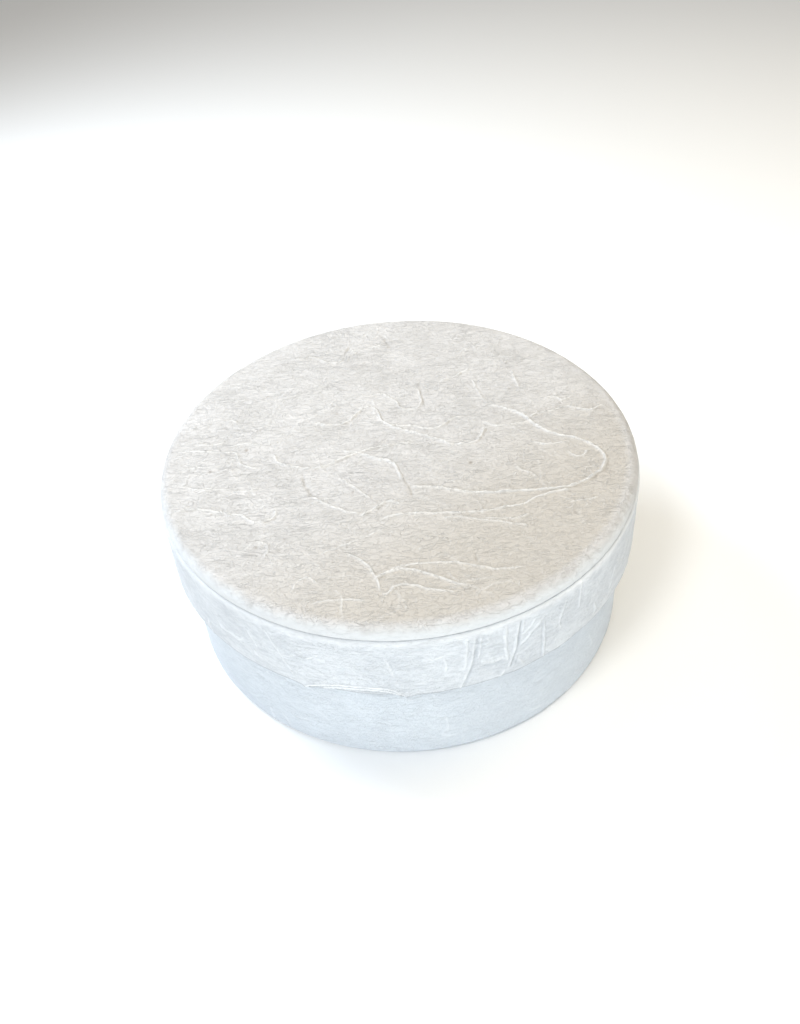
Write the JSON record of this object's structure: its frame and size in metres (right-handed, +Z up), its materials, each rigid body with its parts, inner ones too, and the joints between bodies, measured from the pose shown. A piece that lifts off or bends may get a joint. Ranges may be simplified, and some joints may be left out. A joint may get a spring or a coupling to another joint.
{
  "type": "boxed shaving soap puck",
  "caption": "Round paper-covered box with a lift-off lid, holding a puck of shaving soap between waxed leaves.",
  "frame": {"origin": "centre of the underside, where the box rests", "axes": "+Z up through the box, along which the lid, the cover leaf and the soap lift; the pictured side faces -Y"},
  "size_m": [0.092, 0.092, 0.0373],
  "materials": {
    "cover_paper": "matte",
    "top_paper": "matte",
    "grey_board": "matte",
    "gummed_tape": "matte",
    "lining_paper": "matte",
    "waxed_paper": "satin",
    "soap": "satin"
  },
  "bodies": {
    "tray": {"tray_bottom_sheet": "cover_paper", "tray_wrap": "cover_paper", "tray_hoop": "grey_board", "tray_hoop_tape": "gummed_tape", "tray_board": "grey_board", "tray_wall_lining": "lining_paper", "tray_floor_lining": "lining_paper"},
    "lid": {"lid_hoop": "grey_board", "lid_hoop_tape": "gummed_tape", "lid_skirt_wrap": "cover_paper", "lid_board": "grey_board", "lid_top_sheet": "top_paper", "lid_wall_lining": "lining_paper", "lid_ceiling_lining": "lining_paper"},
    "soap": {"soap_puck": "soap", "soap_under_leaf": "waxed_paper"},
    "cover_leaf": {"soap_cover_leaf": "waxed_paper"}
  },
  "joints": [
    {"name": "lid_lift", "type": "slide", "parent": "tray", "child": "lid", "axis": [0, 0, 1], "range_m": [0, 0.09]},
    {"name": "leaf_lift", "type": "slide", "parent": "tray", "child": "cover_leaf", "axis": [0, 0, 1], "range_m": [0, 0.0675]},
    {"name": "soap_lift", "type": "slide", "parent": "tray", "child": "soap", "axis": [0, 0, 1], "range_m": [0, 0.045]}
  ],
  "couplings": [
    {"joint": "leaf_lift", "follows": "lid_lift", "ratio": 0.75},
    {"joint": "soap_lift", "follows": "lid_lift", "ratio": 0.5}
  ]
}
